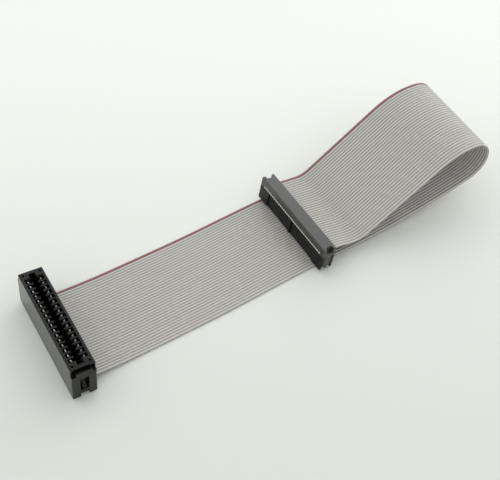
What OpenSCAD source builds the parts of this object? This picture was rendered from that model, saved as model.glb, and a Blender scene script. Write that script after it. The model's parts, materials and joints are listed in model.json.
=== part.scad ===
// Flat ribbon cable with a card-edge connector at one end and a two-row socket at the other.
// The cable lies on a flat surface at z = 0. It runs flat from the card-edge connector, passes under
// the socket, turns over in one loop and comes back down into the socket. Millimetres, +Z up.

/* [Ribbon] */
// Number of conductors, side by side
ways = 34; // [10:2:50]
// Distance between neighbouring conductors
pitch = 1.27; // [1.2:0.01:1.6]
// Thickness of the insulation over a conductor
ribbon_t = 0.9; // [0.75:0.05:1.1]
// Diameter of a stranded conductor
wire_d = 0.38; // [0.3:0.01:0.46]

/* [Ribbon route] */
// Flat length between the lead-in at the card-edge connector and the start of the loop
floor_run = 79; // [40:1:150]
// Bend radius where the loop starts to rise
rise_r = 270; // [150:5:400]
// Angle that the loop has risen by at its far end
rise_a = 16; // [8:1:20]
// Bend radius of the loop's far end
nose_r = 11; // [6:0.5:16]
// Angle turned round the loop's far end
nose_a = 154; // [140:1:160]
// Bend radius over the top of the loop
crown_r = 32; // [20:1:45]
// Slope of the straight length that comes down from the loop
slope_a = 31; // [24:1:38]
// Bend radius at the foot of that slope
dip_r = 9; // [6:0.5:14]

/* [Card-edge connector] */
// Width across the connector
edge_w = 9.8; // [8.2:0.1:12]
// Height from the cover's underside to the body's rim
edge_h = 16.8; // [14:0.1:21]
// Angle that the connector leans by
edge_tilt = 7; // [5:0.5:12]
// Thickness of the cover under the ribbon
edge_floor = 1.75; // [1.4:0.05:2.4]
// Width of the card slot
slot_w = 1.9; // [1.7:0.05:2.3]
// Length of the card slot past the last contact
slot_margin = 3.2; // [2.2:0.1:4]
// Thickness of the wall at each end of the card slot
end_wall = 1.4; // [1.3:0.1:2.4]
// Thickness of a latch arm
arm_t = 1.15; // [0.8:0.05:1.6]
// Height of the rim above a latch arm
arm_drop = 1.9; // [1:0.1:2.6]
// Thickness of the stop behind the ribbon's end
stop_t = 0.9; // [0.6:0.1:1.2]
// Distance from the middle to a row of forks
edge_row_x = 2; // [1.7:0.1:2.2]

/* [Socket] */
// Width across the socket
socket_w = 6; // [5.6:0.1:7.5]
// Height of the socket's body, up to the middle of the ribbon
socket_seat = 7.75; // [7.4:0.05:9.4]
// Height of the cover above the middle of the ribbon
socket_cover_h = 3.6; // [3:0.05:4.5]
// Angle that the socket leans by
socket_tilt = 10; // [6:0.5:14]
// Length of the socket past the last contact
socket_margin = 3.58; // [3.3:0.02:4.4]
// Depth of the panels in the socket's long faces
panel_d = 0.5; // [0.3:0.05:0.6]
// Depth of the notch in each end of the socket's cover
notch_d = 1.6; // [1:0.1:1.8]

/* [Contacts] */
// Thickness of the strip that the contacts are stamped from
strip_t = 0.3; // [0.2:0.02:0.36]
// Width of a contact's spring beam
beam_w = 0.9; // [0.6:0.05:1]
// Width of the fork that grips a conductor
fork_w = 1; // [0.85:0.05:1.1]

/* [Fits] */
// Clearance between the ribbon and what clamps it
fit = 0.02; // [0.01:0.01:0.05]
// Clearance between a latch arm and the body it holds
arm_gap = 0.1; // [0.05:0.05:0.2]
// Clearance round a contact in its cavity
contact_gap = 0.15; // [0.05:0.01:0.2]
// Clearance between the socket and the ribbon that it stands on
rest_gap = 0.05; // [0.02:0.01:0.2]

/* [Hidden] */
$fn = 48;
wire_name = function (k) str("conductor_", k < 10 ? "0" : "", k);

black = [0.07, 0.07, 0.07];
tin = [0.78, 0.78, 0.76];
copper = [0.72, 0.45, 0.25];
ribbon_grey = [0.66, 0.65, 0.63];

eps = 0.01;
rows = [1, -1];
per_row = ways / 2;
row_pitch = 2 * pitch;
span = (per_row - 1) * row_pitch;
ribbon_w = ways * pitch;
mid_t = ribbon_t / 2;
wire_half = wire_d * sqrt(PI) / 4;          // a square bar with the same section as the round wire
wire_bore = wire_half + fit / 2;
channel_half = ribbon_w / 2 + 5 * fit;      // half the width of the ribbon's channel
clamp_gap = mid_t + fit;                    // from the ribbon's middle to a clamping face
bend_step = 13;                             // largest turn between two rings of a bend

// Card-edge connector, in its own upright frame: x across, y along, z up from the cover's underside
edge_ribbon_z = edge_floor + mid_t;
edge_seam = edge_ribbon_z + clamp_gap;
slot_half = span / 2 + slot_margin;
edge_body_half = slot_half + end_wall;
edge_half = edge_body_half + arm_gap + arm_t;
slot_floor = 7;
slot_lead = 1;                              // height of the bevels at the slot's mouth
slot_flare = 0.45;
edge_bevel = 0.25;
rim_w = 1.1;
rim_d = 0.7;
cavity_out = edge_w / 2 - rim_w;
cavity_w = beam_w + 0.9;
cavity_floor = edge_seam + 2.6;
end_groove_w = edge_w - 0.9;
end_groove_d = 0.7;
end_lip_t = 0.6;
pocket_d = 0.7;
well_w = 0.9;
well_d = 2;
well_in = 1.5;                              // from the body's corner to the middle of a well
arm_top = edge_h - arm_drop;
arm_bevel = 0.3;
arm_corner_w = 1.7;
arm_corner_h = 1.6;
window_w = 3.5;
window_low = 3.9;
window_high = 11.2;
foot_notch_h = 3;
hook_w = 1.5;
hook_reach = 0.8 * arm_t;
hook_gap = 0.15;                            // between the window's sill and the hook that stands on it
hook_h = 3.4;
spring_tip_z = edge_h - rim_d - 0.1;

// Socket, in its own upright frame: x across, y along, z up from the mating face
socket_row_x = 1.27;
socket_half = span / 2 + socket_margin;
socket_top = socket_seat + socket_cover_h;
socket_bevel = 0.35;
entry_w = 1;
entry_floor = 0.9;
chamber_w = 1.5;
chamber_top = socket_seat - 1.75;
panel_end = span / 2 - 3;
panel_rib = 1;
panel_top = socket_seat - 0.65;
latch_w = 3;
latch_t = 0.9;
latch_low = 1.3;
latch_top = socket_seat + 0.95;
latch_mouth = 0.6;                          // how far the channel widens on each side at its foot
latch_foot_w = 1;
latch_foot_low = 0.2;
notch_in_w = 2.6;
notch_out_w = 3.6;
tine_depth = 1.5;                           // room for the tines above the ribbon's middle

// Points and directions of the route, in the XZ plane
dir = function (h) [cos(h), sin(h)];
normal = function (h) [-sin(h), cos(h)];

edge_exit_z = edge_ribbon_z * cos(edge_tilt);
edge_inside = edge_w - stop_t;
lead_r = (edge_exit_z - mid_t) / (1 - cos(edge_tilt));

// A length of the route is [length, 0, 0] if straight, or [0, radius, turn] if bent
move_of = function (seg, h)
    seg[2] == 0 ? seg[0] * dir(h) : sign(seg[2]) * seg[1] * (normal(h) - normal(h + seg[2]));

crown_a = 180 + slope_a - rise_a - nose_a;
loop_head = [[0, rise_r, rise_a], [0, nose_r, nose_a], [0, crown_r, crown_a]];
dip = [0, dip_r, -(slope_a + socket_tilt)];

// The slope and the tail are as long as it takes to reach the socket, which stands where the loop starts
socket_edge_back = 0.3;
socket_exit = [socket_seat * sin(socket_tilt) - socket_edge_back,
               ribbon_t + rest_gap + socket_seat * cos(socket_tilt)];
head_end = [0, mid_t] + move_of(loop_head[0], 0) + move_of(loop_head[1], rise_a)
           + move_of(loop_head[2], rise_a + nose_a);
to_close = socket_exit - head_end - move_of(dip, 180 + slope_a);
down = dir(180 + slope_a);
back = dir(180 - socket_tilt);
solve_det = down[0] * back[1] - down[1] * back[0];
slope_len = (to_close[0] * back[1] - to_close[1] * back[0]) / solve_det;
tail_len = (down[0] * to_close[1] - down[1] * to_close[0]) / solve_det;

route = concat(
    [[edge_inside, 0, 0], [0, lead_r, edge_tilt], [floor_run, 0, 0]],
    loop_head,
    [[slope_len, 0, 0], dip, [tail_len, 0, 0], [socket_w, 0, 0]]);
last = len(route) - 1;

// x of the places that matter, first counted from the card-edge connector's standing edge
edge_exit_x = edge_ribbon_z * sin(edge_tilt);
loop_x = edge_exit_x + lead_r * sin(edge_tilt) + floor_run;
socket_edge_x = loop_x - socket_edge_back;
low_x = -edge_w * cos(edge_tilt);
high_x = socket_edge_x + socket_top * sin(socket_tilt);
shift_x = -(low_x + high_x) / 2;            // puts the origin midway between the connectors' outer sides

start = [shift_x + edge_exit_x, edge_exit_z] - edge_inside * dir(-edge_tilt);
heading = function (i) i == 0 ? -edge_tilt : heading(i - 1) + route[i - 1][2];
place = function (i) i == 0 ? start : place(i - 1) + move_of(route[i - 1], heading(i - 1));

// Rings along the route, [point, heading]: the ends of each length and the steps of each bend
turn_steps = function (seg) max(1, ceil(abs(seg[2]) / bend_step));
part_of = function (seg, share) [seg[0] * share, seg[1], seg[2] * share];
rings = concat([[start, heading(0)]],
    [for (i = [0:last], k = [1:turn_steps(route[i])])
        let (share = part_of(route[i], k / turn_steps(route[i])))
        [place(i) + move_of(share, heading(i)), heading(i) + share[2]]]);

// Centre of the i-th contact along a row, and where its fork is beside it
contact_y = function (i) (i - (per_row - 1) / 2) * row_pitch;
wire_y = function (k) ((ways + 1) / 2 - k) * pitch;

// The outline of a bent strip of even thickness along the given points
strip_normal = function (p, q) [p[1] - q[1], q[0] - p[0]] / norm(q - p);
mitre = function (p, i)
    let (a = strip_normal(p[max(i - 1, 0)], p[max(i, 1)]),
         b = strip_normal(p[min(i, len(p) - 2)], p[min(i + 1, len(p) - 1)]))
    (a + b) / (1 + a * b);
strip_outline = function (p, t) concat(
    [for (i = [0:len(p) - 1]) p[i] + mitre(p, i) * t / 2],
    [for (i = [len(p) - 1:-1:0]) p[i] - mitre(p, i) * t / 2]);

// A box from its lowest corner to its highest
module block(low, high) {
    translate(low) cube(high - low);
}

// Stands a flat outline (x, z) up and gives it a length along Y, centred
module along_y(length) {
    rotate([90, 0, 0]) linear_extrude(length, center = true) children();
}

// Stands a flat outline (y, z) up and gives it a length along X, centred
module along_x(length) {
    rotate([90, 0, 90]) linear_extrude(length, center = true) children();
}

module in_edge_frame() {
    translate([shift_x - edge_w / 2 * cos(edge_tilt), 0, edge_w / 2 * sin(edge_tilt)])
        rotate([0, edge_tilt, 0]) children();
}

module in_socket_frame() {
    translate([shift_x + socket_edge_x - socket_w / 2 * cos(socket_tilt), 0,
               ribbon_t + rest_gap + socket_w / 2 * sin(socket_tilt)])
        rotate([0, socket_tilt, 0]) children();
}

module at_contacts() {
    for (i = [0:per_row - 1]) translate([0, contact_y(i), 0]) children();
}

// The band along the route between two distances from its middle, as an outline in the XZ plane
module route_band(low, high) {
    lower = [for (r = rings) r[0] + low * normal(r[1])];
    upper = [for (i = [len(rings) - 1:-1:0]) rings[i][0] + high * normal(rings[i][1])];
    polygon(concat(lower, upper));
}

// What the forks of one connector push aside in the ribbon
module fork_cuts(row_x, ribbon_z) {
    for (side = rows) at_contacts()
        translate([side * row_x, side * pitch / 2, ribbon_z])
            cube([strip_t + 0.1, fork_w + 0.1, 3 * ribbon_t], center = true);
}

module ribbon_insulation() {
    color(ribbon_grey) difference() {
        along_y(ribbon_w) route_band(-mid_t, mid_t);
        for (k = [1:ways]) translate([0, wire_y(k), 0])
            along_y(2 * wire_bore) route_band(-wire_bore, wire_bore);
        in_edge_frame() fork_cuts(edge_row_x, edge_ribbon_z);
        in_socket_frame() fork_cuts(socket_row_x, socket_seat);
    }
}

module conductor(k) {
    color(copper) translate([0, wire_y(k), 0]) along_y(2 * wire_half) route_band(-wire_half, wire_half);
}

// A fork in the (y, z) plane: two pointed tines either side of a conductor at [0, 0], pointing down
module fork_outline(length, tip) {
    half = fork_w / 2;
    tine_mid = (half + wire_bore) / 2;
    crotch = wire_half + 0.2;
    polygon([[-half, length], [-half, -tip + 0.3], [-tine_mid, -tip], [-wire_bore, -tip + 0.3],
             [-wire_bore, crotch], [wire_bore, crotch], [wire_bore, -tip + 0.3],
             [tine_mid, -tip], [half, -tip + 0.3], [half, length]]);
}

// ---- Card-edge connector

// The hollow over each contact's stem, below its spring chamber
module stem_channel(side, low, high, row_x) {
    reach = pitch / 2 + fork_w / 2 + contact_gap;
    stub = beam_w / 2 + contact_gap;
    near = side > 0 ? -stub : -reach;
    far = side > 0 ? reach : stub;
    half = strip_t / 2 + contact_gap;
    block([side * row_x - half, near, low], [side * row_x + half, far, high]);
}

module card_slot_outline() {
    half = slot_w / 2;
    mouth = edge_h - slot_lead;
    polygon([[-half, slot_floor], [half, slot_floor], [half, mouth], [half + slot_flare, edge_h + eps],
             [-half - slot_flare, edge_h + eps], [-half, mouth]]);
}

module edge_body_outline() {
    half = edge_w / 2;
    shoulder = edge_h - edge_bevel;
    polygon([[-half, edge_seam], [half, edge_seam], [half, shoulder], [half - edge_bevel, edge_h],
             [edge_bevel - half, edge_h], [-half, shoulder]]);
}

// The wedge on the body's end that the latch arm's window snaps over, so that it stands on the window's sill
module latch_hook() {
    low = window_low + hook_gap;
    root = edge_body_half - pocket_d - eps;
    nose = edge_body_half + hook_reach;
    along_x(hook_w) polygon([[root, low], [nose, low + 0.3], [nose, low + 1], [root, low + hook_h]]);
}

module edge_connector_body() {
    trough_half = span / 2 + 1.1;
    groove_low = arm_top - arm_corner_h;
    color(black) in_edge_frame() {
        difference() {
            along_y(2 * edge_body_half) edge_body_outline();
            along_y(2 * slot_half) card_slot_outline();
            // The trough between the rims, so that the ribs between cavities lie lower
            block([-cavity_out, -trough_half, edge_h - rim_d], [cavity_out, trough_half, edge_h + eps]);
            for (side = rows) {
                at_contacts() {
                    translate([side * (cavity_out + slot_w / 4) / 2, 0, (cavity_floor + edge_h) / 2 + eps])
                        cube([cavity_out - slot_w / 4, cavity_w, edge_h - cavity_floor], center = true);
                    stem_channel(side, edge_seam - eps, cavity_floor + eps, edge_row_x);
                }
                // The groove under the rim's end lip, the pocket behind the latch arm's window, and the wells
                translate([0, side * edge_body_half, (groove_low + edge_h - end_lip_t) / 2])
                    cube([end_groove_w, 2 * end_groove_d, edge_h - end_lip_t - groove_low], center = true);
                translate([0, side * edge_body_half, (window_low + window_high) / 2])
                    cube([window_w, 2 * pocket_d, window_high - window_low], center = true);
                for (other = rows)
                    translate([side * (edge_w / 2 - well_in), other * (edge_body_half - well_in), edge_h])
                        cube([well_w, well_w, 2 * well_d], center = true);
            }
        }
        for (turn = [0, 180]) rotate(turn) latch_hook();
    }
}

// A latch arm in plan: flat inside, bevelled outside
module arm_plan() {
    half = edge_w / 2;
    inner = edge_body_half + arm_gap;
    shoulder = edge_half - arm_bevel;
    polygon([[-half, inner], [half, inner], [half, shoulder], [half - arm_bevel, edge_half],
             [arm_bevel - half, edge_half], [-half, shoulder]]);
}

module latch_arm() {
    deep = 4 * arm_t;
    difference() {
        linear_extrude(arm_top) arm_plan();
        // The window, the notch at the foot and the two notched top corners
        translate([0, edge_half, (window_low + window_high) / 2])
            cube([window_w, deep, window_high - window_low], center = true);
        translate([0, edge_half, 0]) cube([window_w, deep, 2 * foot_notch_h], center = true);
        for (side = rows) translate([side * edge_w / 2, edge_half, arm_top])
            cube([2 * arm_corner_w, deep, 2 * arm_corner_h], center = true);
    }
}

module edge_connector_cover() {
    top = edge_seam - fit;
    base_half = edge_body_half + arm_gap + eps;
    tine_slot = [strip_t + 0.2, fork_w + 0.2, 2 * (edge_floor - 0.6)];
    color(black) in_edge_frame() union() {
        difference() {
            block([-edge_w / 2, -base_half, 0], [edge_w / 2, base_half, top]);
            block([stop_t - edge_w / 2, -channel_half, edge_ribbon_z - clamp_gap],
                  [edge_w / 2 + eps, channel_half, top + eps]);
            for (side = rows) at_contacts()
                translate([side * edge_row_x, side * pitch / 2, edge_floor]) cube(tine_slot, center = true);
        }
        for (turn = [0, 180]) rotate(turn) latch_arm();
    }
}

// The spring of a card-edge contact: up its cavity, in to the card, and out again at the tip
module edge_spring_outline() {
    stem = edge_row_x;
    bow = cavity_out - 0.85;
    touch = (slot_w - 0.3) / 2 + strip_t / 2;       // it stands a little way into the slot
    polygon(strip_outline([[stem, cavity_floor - 0.4], [stem, cavity_floor + 0.6], [bow, cavity_floor + 1.8],
                           [bow, cavity_floor + 3.2], [touch, edge_h - 4], [touch + 0.2, edge_h - 3.2],
                           [cavity_out - 1.15, spring_tip_z]], strip_t));
}

module edge_contacts(side) {
    plate_low = cavity_floor - 1.1;
    color(tin) in_edge_frame() at_contacts() union() {
        translate([side * edge_row_x, 0, 0]) along_x(strip_t) {
            translate([side * pitch / 2, edge_ribbon_z])
                fork_outline(plate_low + 0.3 - edge_ribbon_z, edge_ribbon_z - 0.85);
            translate([side > 0 ? -beam_w / 2 : -pitch / 2 - fork_w / 2, plate_low])
                square([beam_w / 2 + pitch / 2 + fork_w / 2, 1.1]);
        }
        mirror([side > 0 ? 0 : 1, 0, 0]) along_y(beam_w) edge_spring_outline();
    }
}

// ---- Socket

module socket_panels() {
    for (side = rows) for (end = rows)
        translate([side * socket_w / 2, end * (panel_end + panel_rib / 2) / 2, panel_top / 2 - eps])
            cube([2 * panel_d, panel_end - panel_rib / 2, panel_top], center = true);
}

// The channel down each end of the body that the cover's latch fills, wider at its foot
module latch_channel() {
    half = latch_w / 2 + arm_gap;
    inner = socket_half - latch_t - arm_gap;
    block([-half, inner, -eps], [half, socket_half + eps, socket_seat]);
    mouth = half + latch_mouth;
    block([-mouth, inner, -eps], [mouth, socket_half + eps, latch_low]);
}

module socket_body() {
    color(black) in_socket_frame() difference() {
        block([-socket_w / 2, -socket_half, 0], [socket_w / 2, socket_half, socket_seat - clamp_gap]);
        socket_panels();
        for (turn = [0, 180]) rotate(turn) latch_channel();
        for (side = rows) at_contacts() {
            translate([side * socket_row_x, 0, 0]) {
                cube([entry_w, entry_w, 3 * entry_floor], center = true);
                translate([-chamber_w / 2, -chamber_w / 2, entry_floor])
                    cube([chamber_w, chamber_w, chamber_top - entry_floor]);
            }
            stem_channel(side, chamber_top - eps, socket_seat, socket_row_x);
        }
    }
}

module socket_cover_outline() {
    half = socket_w / 2;
    low = socket_seat - clamp_gap + fit;
    shoulder = socket_top - socket_bevel;
    polygon([[-half, low], [half, low], [half, shoulder], [half - socket_bevel, socket_top],
             [socket_bevel - half, socket_top], [-half, shoulder]]);
}

module cover_notch() {
    translate([0, 0, latch_top]) linear_extrude(socket_cover_h)
        polygon([[-notch_in_w / 2, socket_half - notch_d], [notch_in_w / 2, socket_half - notch_d],
                 [notch_out_w / 2, socket_half + eps], [-notch_out_w / 2, socket_half + eps]]);
}

// The latch under each end of the cover, with a narrow foot that shows in the channel's mouth
module cover_latch() {
    inner = socket_half - latch_t;
    block([-latch_w / 2, inner, latch_low], [latch_w / 2, socket_half, latch_top]);
    block([-latch_foot_w / 2, inner, latch_foot_low], [latch_foot_w / 2, socket_half, latch_low + eps]);
}

module socket_cover() {
    tine_slot = [strip_t + 0.2, fork_w + 0.2, 2 * tine_depth];
    color(black) in_socket_frame() union() {
        difference() {
            along_y(2 * socket_half) socket_cover_outline();
            block([-socket_w / 2 - eps, -channel_half, 0],
                  [socket_w / 2 + eps, channel_half, socket_seat + clamp_gap]);
            for (side = rows) at_contacts()
                translate([side * socket_row_x, side * pitch / 2, socket_seat]) cube(tine_slot, center = true);
            for (turn = [0, 180]) rotate(turn) cover_notch();
        }
        for (turn = [0, 180]) rotate(turn) cover_latch();
    }
}

module socket_contacts(side) {
    plate_low = chamber_top - 0.9;
    plate_top = chamber_top + 0.5;
    leaf_t = 0.2;
    leaf_x = 0.55;
    color(tin) in_socket_frame() translate([side * socket_row_x, 0, 0]) at_contacts() union() {
        along_x(strip_t) {
            translate([side * pitch / 2, socket_seat]) mirror([0, 1])
                fork_outline(socket_seat - plate_top + 0.2, tine_depth - 0.3);
            translate([side > 0 ? -leaf_x : -pitch / 2 - fork_w / 2, chamber_top - 0.1 + contact_gap])
                square([leaf_x + pitch / 2 + fork_w / 2, plate_top - chamber_top + 0.1 - contact_gap]);
            translate([-leaf_x, plate_low]) square([2 * leaf_x, plate_top - plate_low]);
        }
        for (leaf = rows) along_x(beam_w)
            polygon(strip_outline([[leaf * leaf_x, chamber_top - 0.2], [leaf * leaf_x, 4],
                                   [leaf * (0.32 + leaf_t / 2), 2.6], [leaf * leaf_x, 1.4]], leaf_t));
    }
}

edge_connector_body();
edge_connector_cover();
edge_contacts(1);  // edge_contacts_row_a
edge_contacts(-1);  // edge_contacts_row_b
socket_body();
socket_cover();
socket_contacts(1);  // socket_contacts_row_a
socket_contacts(-1);  // socket_contacts_row_b
ribbon_insulation();
for (k = [1:ways]) conductor(k);
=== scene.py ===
import json
import math

import bpy
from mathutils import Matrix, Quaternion, Vector


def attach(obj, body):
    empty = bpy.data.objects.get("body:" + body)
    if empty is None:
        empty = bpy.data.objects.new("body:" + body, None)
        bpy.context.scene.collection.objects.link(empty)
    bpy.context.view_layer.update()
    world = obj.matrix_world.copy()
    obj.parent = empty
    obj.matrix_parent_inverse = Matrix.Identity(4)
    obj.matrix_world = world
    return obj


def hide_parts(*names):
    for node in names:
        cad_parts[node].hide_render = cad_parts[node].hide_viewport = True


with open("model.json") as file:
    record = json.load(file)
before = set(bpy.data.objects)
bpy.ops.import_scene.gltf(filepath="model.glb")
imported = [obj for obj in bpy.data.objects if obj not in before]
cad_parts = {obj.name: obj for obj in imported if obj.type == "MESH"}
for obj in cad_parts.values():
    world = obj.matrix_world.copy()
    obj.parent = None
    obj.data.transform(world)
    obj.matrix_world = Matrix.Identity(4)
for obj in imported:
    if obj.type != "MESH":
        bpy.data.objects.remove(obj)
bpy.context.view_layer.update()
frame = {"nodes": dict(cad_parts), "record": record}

# Blender works in metres, and the ribbon's sizes below are in millimetres, as in the CAD source.
MM = 0.001

# ---- Camera: where it stands, its heading from +Y towards +X, and how far it looks down
CAMERA_AT = Vector((-83.4, -188.0, 284.0)) * MM
CAMERA_AZIMUTH = math.radians(31.70)
CAMERA_DOWN = math.radians(51.27)
CAMERA_ROLL = math.radians(0.63)
CAMERA_LENS = 61.24
CAMERA_SENSOR = 36.0

# ---- Ribbon: 34 insulated conductors side by side, joined by thin webs
WAYS = 34
PITCH = 1.27
LOBE_R = 0.45
WEB_HALF = 0.14
RIBBON_W = WAYS * PITCH
LOBE_STEPS = 8
EDGE_HALF = WEB_HALF * 0.6           # half the thickness that the sheared edges are drawn with
STRANDS_R = 0.19
STRANDS = 6
BETWEEN_STRANDS_R = 0.1634
CUT_BACK = 0.04                      # how far the conductors' ends stand out of the cut insulation

# The route of the ribbon's middle in the XZ plane, as in the CAD source: where it starts, which way it
# heads, and its lengths, each (length, 0, 0) if straight or (0, radius, turn in degrees) if bent
ROUTE_START = (-58.3437, 3.2682)
ROUTE_HEADING = -7.0
ROUTE = [
    (8.9, 0, 0),                     # inside the card-edge connector
    (0, 232.578, 7),                 # down to the floor
    (79, 0, 0),                      # flat on the floor
    (0, 270, 16),                    # rising out to the far end of the loop
    (0, 11, 154),                    # round the far end
    (0, 32, 41),                     # over the top
    (39.422, 0, 0),                  # down the slope
    (0, 9, -41),                     # the foot of the slope
    (10.385, 0, 0),                  # level with the socket
    (6, 0, 0),                       # inside the socket
]
RING_TURN = 3.5                      # largest turn between two rings, in degrees
RING_STEP = 8.0                      # largest distance between two rings on a straight length

# How the limp ribbon strays from that plane: (distance along it, sideways shift, twist in degrees)
STRAY = [
    (12, 0, 0),                      # at the card-edge connector
    (60, 0, 0),
    (116, 1.4, 0),                   # under the socket
    (155, 0.8, 0),
    (192, -0.2, -1.5),               # round the far end
    (222, -0.2, -3.0),
    (245, -0.6, -4.2),               # on the slope
    (280, -0.6, -3.0),
    (297, 0, 0),                     # at the socket
]


def add_camera():
    data = bpy.data.cameras.new("camera")
    data.lens = CAMERA_LENS
    data.sensor_width = CAMERA_SENSOR
    data.clip_start = 0.01
    data.clip_end = 20.0
    camera = bpy.data.objects.new("camera", data)
    bpy.context.scene.collection.objects.link(camera)
    flat = math.cos(CAMERA_DOWN)
    look = Vector((math.sin(CAMERA_AZIMUTH) * flat, math.cos(CAMERA_AZIMUTH) * flat, 0))
    look.z = -math.sin(CAMERA_DOWN)
    camera.rotation_mode = "QUATERNION"
    camera.rotation_quaternion = look.to_track_quat("-Z", "Y") @ Quaternion((0, 0, 1), CAMERA_ROLL)
    camera.location = CAMERA_AT
    bpy.context.scene.camera = camera


# ---- The ribbon

def heading_vectors(degrees):
    """The directions along the route and to its left, in the XZ plane."""
    a = math.radians(degrees)
    return Vector((math.cos(a), math.sin(a))), Vector((-math.sin(a), math.cos(a)))


def stray_at(distance):
    """The sideways shift in millimetres and the twist in radians at a distance along the ribbon."""
    for (d0, shift0, twist0), (d1, shift1, twist1) in zip(STRAY, STRAY[1:]):
        if d0 <= distance <= d1:
            share = (distance - d0) / (d1 - d0)
            ease = share * share * (3 - 2 * share)
            return shift0 + (shift1 - shift0) * ease, math.radians(twist0 + (twist1 - twist0) * ease)
    return 0.0, 0.0


class Ring:
    """A place along the ribbon, with its middle, its heading, and the shift and twist of its section."""

    def __init__(self, middle, heading, distance):
        self.middle = middle
        self.heading = heading
        self.distance = distance
        self.shift, self.twist = stray_at(distance)

    def at(self, across, up):
        """The point, in metres, that lies so far across the ribbon and so far to its left."""
        left = heading_vectors(self.heading)[1]
        side = across * math.cos(self.twist) - up * math.sin(self.twist)
        rise = across * math.sin(self.twist) + up * math.cos(self.twist)
        spot = self.middle + left * rise
        return Vector((spot.x, self.shift + side, spot.y)) * MM

    def moved(self, distance):
        """The ring that much further along a straight length."""
        middle = self.middle + heading_vectors(self.heading)[0] * distance
        return Ring(middle, self.heading, self.distance + distance)


def route_rings():
    middle = Vector(ROUTE_START)
    heading = ROUTE_HEADING
    distance = 0.0
    rings = [Ring(middle, heading, distance)]
    for length, radius, turn in ROUTE:
        along, left = heading_vectors(heading)
        reach = length + radius * math.radians(abs(turn))
        steps = math.ceil(max(reach / RING_STEP, abs(turn) / RING_TURN))
        for k in range(1, steps + 1):
            share = k / steps
            now = heading + turn * share
            if turn == 0:
                spot = middle + along * (length * share)
            else:
                spot = middle + (left - heading_vectors(now)[1]) * math.copysign(radius, turn)
            rings.append(Ring(spot, now, distance + reach * share))
        middle = rings[-1].middle
        heading = rings[-1].heading
        distance += reach
    return rings


def ribbon_section():
    """The outline of the ribbon's section as (across, up) points: over the lobes and back under them."""
    half = RIBBON_W / 2
    shallow = math.asin(WEB_HALF / LOBE_R)
    top = [(-half, EDGE_HALF)]
    for lobe in range(WAYS):
        middle = (lobe - (WAYS - 1) / 2) * PITCH
        for step in range(LOBE_STEPS + 1):
            a = math.pi - shallow - (math.pi - 2 * shallow) * step / LOBE_STEPS
            top.append((middle + LOBE_R * math.cos(a), LOBE_R * math.sin(a)))
    top.append((half, EDGE_HALF))
    under = [(across, -up) for across, up in reversed(top)]
    return top + under


def strand_section(middle):
    """The outline of a conductor's six outer strands round its core, as (across, up) points."""
    outline = []
    for k in range(2 * STRANDS):
        a = math.pi * k / STRANDS
        r = STRANDS_R if k % 2 == 0 else BETWEEN_STRANDS_R
        outline.append((middle + r * math.cos(a), -r * math.sin(a)))
    return outline


def cut_back(rings, back):
    """The same rings with both ends that much shorter."""
    return [rings[0].moved(back)] + rings[1:-1] + [rings[-1].moved(-back)]


def swept(name, sections, rings, skin, end):
    """A piece made of closed outlines drawn along the rings, with its skin's and its ends' materials."""
    verts = []
    flat = []
    sides = []
    ends = []
    for section in sections:
        start = len(verts)
        count = len(section)
        verts += [ring.at(across, up) for ring in rings for across, up in section]
        flat += [(ring.distance * MM, across * MM, up * MM) for ring in rings for across, up in section]
        for ring in range(len(rings) - 1):
            base = start + ring * count
            for k in range(count):
                n = (k + 1) % count
                sides.append((base + k, base + n, base + count + n, base + count + k))
        last = start + (len(rings) - 1) * count
        ends.append(tuple(reversed(range(start, start + count))))
        ends.append(tuple(range(last, last + count)))
    mesh = bpy.data.meshes.new(name)
    mesh.from_pydata(verts, [], sides + ends)
    # Where each point would be with the ribbon laid out straight, which the materials go by
    laid_flat = mesh.attributes.new("laid_flat", "FLOAT_VECTOR", "POINT")
    laid_flat.data.foreach_set("vector", [number for point in flat for number in point])
    mesh.materials.append(skin)
    mesh.materials.append(end)
    for face in mesh.polygons:
        is_end = face.index >= len(sides)
        face.material_index = 1 if is_end else 0
        face.use_smooth = not is_end
    mesh.set_sharp_from_angle(angle=math.radians(60))
    piece = bpy.data.objects.new(name, mesh)
    bpy.context.scene.collection.objects.link(piece)
    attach(piece, "root")
    return piece


def add_ribbon():
    rings = route_rings()
    copper = tinned_copper()
    wires = [strand_section((k - (WAYS - 1) / 2) * PITCH) for k in range(WAYS)]
    conductors = swept("conductors", wires, rings, copper, copper)
    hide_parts(*[name for name in frame["nodes"] if name.startswith("conductor_")])
    ribbon = swept("ribbon", [ribbon_section()], cut_back(rings, CUT_BACK), ribbon_vinyl(), cut_vinyl())
    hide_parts("ribbon_insulation")
    path = [ring.at(0, 0) for ring in rings]


# ---- Materials

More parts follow.
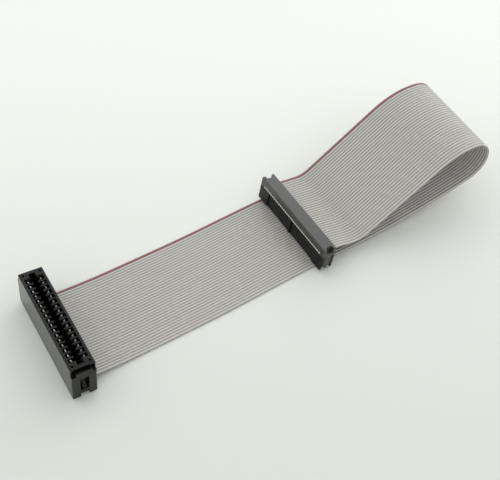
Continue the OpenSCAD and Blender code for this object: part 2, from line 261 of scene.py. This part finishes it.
class Nodes:
    """A short way to write a material's nodes, placed by the object's own metres or by an attribute."""

    def __init__(self, name, attribute=None):
        self.material = bpy.data.materials.new(name)
        self.material.use_nodes = True
        self.tree = self.material.node_tree
        self.shader = self.tree.nodes["Principled BSDF"]
        if attribute is None:
            self.place = self.add("ShaderNodeTexCoord").outputs["Object"]
        else:
            self.place = self.add("ShaderNodeAttribute", attribute_name=attribute).outputs["Vector"]

    def add(self, kind, **settings):
        node = self.tree.nodes.new(kind)
        for key, value in settings.items():
            setattr(node, key, value)
        return node

    def link(self, source, target):
        self.tree.links.new(source, target)

    def put(self, value, socket):
        """A number or colour is set on the socket, and an output is linked to it."""
        if isinstance(value, bpy.types.NodeSocket):
            self.link(value, socket)
        else:
            socket.default_value = value

    def math(self, operation, a, b=0.0):
        node = self.add("ShaderNodeMath", operation=operation)
        self.put(a, node.inputs[0])
        self.put(b, node.inputs[1])
        return node.outputs[0]

    def stretched(self, scale):
        """The place, with each axis scaled by itself."""
        node = self.add("ShaderNodeMapping")
        self.link(self.place, node.inputs["Vector"])
        node.inputs["Scale"].default_value = scale
        return node.outputs[0]

    def dot(self, direction):
        """How far the place lies in that direction."""
        node = self.add("ShaderNodeVectorMath", operation="DOT_PRODUCT")
        self.link(self.place, node.inputs[0])
        node.inputs[1].default_value = direction
        return node.outputs["Value"]

    def noise(self, scale, detail=2.0, roughness=0.5, at=None):
        node = self.add("ShaderNodeTexNoise")
        self.link(self.place if at is None else at, node.inputs["Vector"])
        node.inputs["Scale"].default_value = scale
        node.inputs["Detail"].default_value = detail
        node.inputs["Roughness"].default_value = roughness
        return node.outputs["Fac"]

    def ramp(self, value, low, high, to_low=0.0, to_high=1.0, smooth=False):
        node = self.add("ShaderNodeMapRange", clamp=True)
        if smooth:
            node.interpolation_type = "SMOOTHSTEP"
        self.put(value, node.inputs["Value"])
        node.inputs["From Min"].default_value = low
        node.inputs["From Max"].default_value = high
        node.inputs["To Min"].default_value = to_low
        node.inputs["To Max"].default_value = to_high
        return node.outputs["Result"]

    def mix(self, share, a, b):
        node = self.add("ShaderNodeMix", data_type="RGBA")
        self.put(share, node.inputs[0])
        self.put(a, node.inputs[6])
        self.put(b, node.inputs[7])
        return node.outputs[2]

    def bump(self, height, depth, strength=1.0, normal=None):
        node = self.add("ShaderNodeBump")
        node.inputs["Strength"].default_value = strength
        node.inputs["Distance"].default_value = depth
        self.link(height, node.inputs["Height"])
        if normal is not None:
            self.link(normal, node.inputs["Normal"])
        return node.outputs["Normal"]

    def rounded(self, radius):
        """The normal, as if sharp edges had that radius."""
        node = self.add("ShaderNodeBevel", samples=6)
        node.inputs["Radius"].default_value = radius
        return node.outputs["Normal"]

    def finish(self, **sockets):
        """The material, its shader's sockets set: an underscore stands for a space in their names."""
        for key, value in sockets.items():
            self.put(value, self.shader.inputs[key.replace("_", " ")])
        return self.material


VINYL_GREY = (0.56, 0.54, 0.52, 1.0)
# The dark grey of the painted shade that lies in the ribbon's grooves
GROOVE_PAINTED_SHADE = (0.17, 0.165, 0.155, 1.0)
VINYL_RED = (0.26, 0.085, 0.09, 1.0)
VINYL_CUT = (0.74, 0.73, 0.70, 1.0)


def ribbon_vinyl():
    """Extruded grey vinyl, first edge red: the grey varies a little, and painted shade darkens the
    grooves.
    """
    n = Nodes("ribbon_vinyl", attribute="laid_flat")
    split = n.add("ShaderNodeSeparateXYZ")
    n.link(n.place, split.inputs[0])
    along_ways = n.math("DIVIDE", n.math("ADD", split.outputs["Y"], RIBBON_W / 2 * MM), PITCH * MM)
    way = n.math("FLOOR", along_ways)
    in_way = n.math("ABSOLUTE", n.math("SUBTRACT", n.math("FRACT", along_ways), 0.5))
    # Where the grooves between the conductors lie, for the painted shade in them
    groove_shade_mask = n.ramp(in_way, 0.27, 0.46, smooth=True)
    shade = n.add("ShaderNodeTexWhiteNoise", noise_dimensions="1D")
    n.link(way, shade.inputs["W"])
    streaks = n.noise(1.0, detail=3.0, at=n.stretched((40, 3500, 400)))
    cloud = n.noise(55.0, detail=4.0, roughness=0.6)
    grey = n.mix(n.ramp(shade.outputs["Value"], 0.0, 1.0, 0.0, 0.12), VINYL_GREY, (0.40, 0.39, 0.37, 1.0))
    grey = n.mix(n.ramp(streaks, 0.35, 0.75, 0.0, 0.16), grey, (0.32, 0.31, 0.29, 1.0))
    grey = n.mix(n.ramp(cloud, 0.4, 0.75, 0.0, 0.10), grey, (0.56, 0.53, 0.47, 1.0))
    red_edge = n.ramp(along_ways, WAYS - 1.0 - 0.06, WAYS - 1.0 + 0.06)
    colour = n.mix(red_edge, grey, VINYL_RED)
    # Painted shade: the grooves are darkened, standing in for the shade that falls in them
    colour = n.mix(n.ramp(groove_shade_mask, 0.0, 1.0, 0.0, 0.85), colour, GROOVE_PAINTED_SHADE)
    grain = n.noise(1600.0, detail=2.0)
    height = n.math("ADD", n.math("MULTIPLY", grain, 0.4), streaks)
    return n.finish(
        Base_Color=colour,
        Roughness=n.ramp(cloud, 0.3, 0.7, 0.20, 0.30),
        Specular_IOR_Level=0.9,
        Normal=n.bump(height, 0.00002, 0.35),
    )


def cut_vinyl():
    """The sheared end of the insulation, paler than its skin."""
    n = Nodes("cut_vinyl")
    grain = n.noise(2400.0, detail=3.0)
    colour = n.mix(n.ramp(grain, 0.3, 0.7), VINYL_CUT, (0.60, 0.59, 0.56, 1.0))
    return n.finish(Base_Color=colour, Roughness=0.6, Normal=n.bump(grain, 0.00004, 0.6))


def black_plastic(name, dark, light, roughness, specular):
    """Moulded glass-filled polyester: nearly black, with fine grain, faint flow marks and soft edges."""
    n = Nodes(name)
    flow = n.noise(1.0, detail=5.0, roughness=0.6, at=n.stretched((260, 90, 260)))
    fibre = n.noise(1.0, detail=2.0, at=n.stretched((5200, 1500, 5200)))
    grain = n.noise(5200.0, detail=2.0)
    darkest = (dark, dark * 1.03, dark, 1.0)
    lightest = (light, light * 1.03, light, 1.0)
    colour = n.mix(n.ramp(flow, 0.35, 0.7), darkest, lightest)
    colour = n.mix(n.ramp(fibre, 0.62, 0.8, 0.0, 0.3), colour, (0.05, 0.052, 0.05, 1.0))
    height = n.math("ADD", grain, n.math("MULTIPLY", fibre, 0.6))
    return n.finish(
        Base_Color=colour,
        Roughness=n.ramp(flow, 0.3, 0.7, roughness, roughness + 0.06),
        Specular_IOR_Level=specular,
        Normal=n.bump(height, 0.000012, 0.35, n.rounded(0.00016)),
    )


# Painted shade on the contacts: how far below the card slot's rim it begins, and where it is darkest
UNSHADED_DOWN_TO = 1.0
FULL_SHADE_FROM = 1.6


def contact_tin():
    """Tin plate, bright at the sprung tips with painted shade below, a fine drawn grain and duller
    patches.
    """
    n = Nodes("contact_tin")
    patch = n.noise(900.0, detail=3.0)
    drawn = n.noise(1.0, detail=2.0, at=n.stretched((9000, 9000, 700)))
    colour = n.mix(n.ramp(patch, 0.35, 0.7), (0.80, 0.79, 0.77, 1.0), (0.60, 0.59, 0.57, 1.0))
    slot = next(mount for mount in frame["record"]["mounts"] if mount["name"] == "card_slot")
    below_rim = n.math("SUBTRACT", Vector(slot["pos_m"]).dot(slot["axis"]), n.dot(slot["axis"]))
    depth_shade = n.ramp(below_rim, UNSHADED_DOWN_TO * MM, FULL_SHADE_FROM * MM)
    # Painted shade: the contacts darken to near black deeper in the card slot, where shade falls
    colour = n.mix(depth_shade, colour, (0.08, 0.078, 0.074, 1.0))
    return n.finish(
        Base_Color=colour,
        Metallic=1.0,
        Roughness=n.ramp(patch, 0.3, 0.7, 0.34, 0.48),
        Normal=n.bump(drawn, 0.000008, 0.5, n.rounded(0.00006)),
    )


def tinned_copper():
    """Strands of tinned copper, sheared at their ends."""
    n = Nodes("tinned_copper")
    strands = n.noise(6000.0, detail=1.0)
    colour = n.mix(n.ramp(strands, 0.4, 0.6), (0.78, 0.74, 0.70, 1.0), (0.60, 0.50, 0.42, 1.0))
    return n.finish(Base_Color=colour, Metallic=1.0, Roughness=0.35, Normal=n.bump(strands, 0.00002, 0.7))


def finish_cad_nodes():
    """The metal parts share one tin plate; each moulding's black and gloss differ, partly as painted
    light.
    """
    tin = contact_tin()
    materials = {
        # These blacks differ partly as painted light and shade on one plastic
        "edge_connector_body": black_plastic("edge_body_plastic", 0.005, 0.009, 0.06, 0.25),
        "edge_connector_cover": black_plastic("edge_cover_plastic", 0.007, 0.012, 0.20, 0.3),
        "socket_body": black_plastic("socket_body_plastic", 0.003, 0.006, 0.36, 0.25),
        # Painted sheen: the socket cover's black is lighter, standing in partly for the light its top
        # catches
        "socket_cover": black_plastic("socket_cover_plastic_with_painted_sheen", 0.022, 0.032, 0.36, 0.9),
        "edge_contacts_row_a": tin,
        "edge_contacts_row_b": tin,
        "socket_contacts_row_a": tin,
        "socket_contacts_row_b": tin,
    }
    for node, material in materials.items():
        for place in frame["nodes"][node].material_slots:
            place.material = material


# ---- The stage: a pale floor and soft light

FLOOR_AT = -0.0001
FLOOR_HALF = 3.0
FLOOR_FRONT_SHADED = (0.73, 0.745, 0.715, 1.0)
FLOOR_BACK_LIT = (0.885, 0.89, 0.87, 1.0)
FLOOR_TO_BACK = (0.53, 0.85, 0.0)    # the way across the floor in which its painted light grows paler
BACK_OF_ROOM = (0.50, 0.74, 0.45)    # the way towards the brightest part of the walls
WALL_FRONT = 0.74
WALL_BACK = 1.01


def floor_paper():
    """A pale sheet with faint clouds and painted light: it fades a little towards the front."""
    n = Nodes("floor_paper")
    cloud = n.noise(3.0, detail=3.0)
    # Painted light: paler towards the back and darker towards the front, as the light falls off
    colour = n.mix(n.ramp(n.dot(FLOOR_TO_BACK), -0.12, 0.16, smooth=True), FLOOR_FRONT_SHADED, FLOOR_BACK_LIT)
    colour = n.mix(n.ramp(cloud, 0.3, 0.7, 0.0, 0.04), colour, (0.7, 0.71, 0.7, 1.0))
    return n.finish(Base_Color=colour, Roughness=0.7, Specular_IOR_Level=0.25)


def add_floor():
    mesh = bpy.data.meshes.new("floor")
    h = FLOOR_HALF
    mesh.from_pydata([(-h, -h, 0), (h, -h, 0), (h, h, 0), (-h, h, 0)], [], [(0, 1, 2, 3)])
    mesh.materials.append(floor_paper())
    floor = bpy.data.objects.new("floor", mesh)
    floor.location.z = FLOOR_AT
    bpy.context.scene.collection.objects.link(floor)


def add_soft_box(name, at, aim, size, power):
    data = bpy.data.lights.new(name, "AREA")
    data.shape = "RECTANGLE"
    data.size, data.size_y = size
    data.energy = power
    light = bpy.data.objects.new(name, data)
    light.location = at
    light.rotation_mode = "QUATERNION"
    light.rotation_quaternion = (Vector(aim) - Vector(at)).to_track_quat("-Z", "Y")
    bpy.context.scene.collection.objects.link(light)


def studio_walls():
    """Pale walls all round, dimmer on the side that the camera stands on."""
    world = bpy.data.worlds.new("studio")
    world.use_nodes = True
    tree = world.node_tree
    background = tree.nodes["Background"]
    background.inputs["Color"].default_value = (0.985, 1.0, 0.965, 1.0)
    direction = tree.nodes.new("ShaderNodeTexCoord").outputs["Generated"]
    towards_back = tree.nodes.new("ShaderNodeVectorMath")
    towards_back.operation = "DOT_PRODUCT"
    towards_back.inputs[1].default_value = BACK_OF_ROOM
    tree.links.new(direction, towards_back.inputs[0])
    strength = tree.nodes.new("ShaderNodeMapRange")
    strength.inputs["From Min"].default_value = -0.7
    strength.inputs["From Max"].default_value = 0.9
    strength.inputs["To Min"].default_value = WALL_FRONT
    strength.inputs["To Max"].default_value = WALL_BACK
    tree.links.new(towards_back.outputs["Value"], strength.inputs["Value"])
    tree.links.new(strength.outputs["Result"], background.inputs["Strength"])
    bpy.context.scene.world = world


def add_light():
    studio_walls()
    add_soft_box("back_right", (0.66, 0.44, 0.58), (0.05, 0.0, 0.01), (1.10, 0.80), 1.2)
    add_soft_box("low_right", (0.75, 0.34, 0.24), (0.10, 0.0, 0.02), (0.70, 0.40), 0.9)
    add_soft_box("back_left", (-0.45, 0.62, 0.60), (0.03, 0.0, 0.01), (1.10, 0.80), 0.7)
    bpy.context.scene.view_settings.view_transform = "Standard"


add_camera()
add_ribbon()
finish_cad_nodes()
add_floor()
add_light()
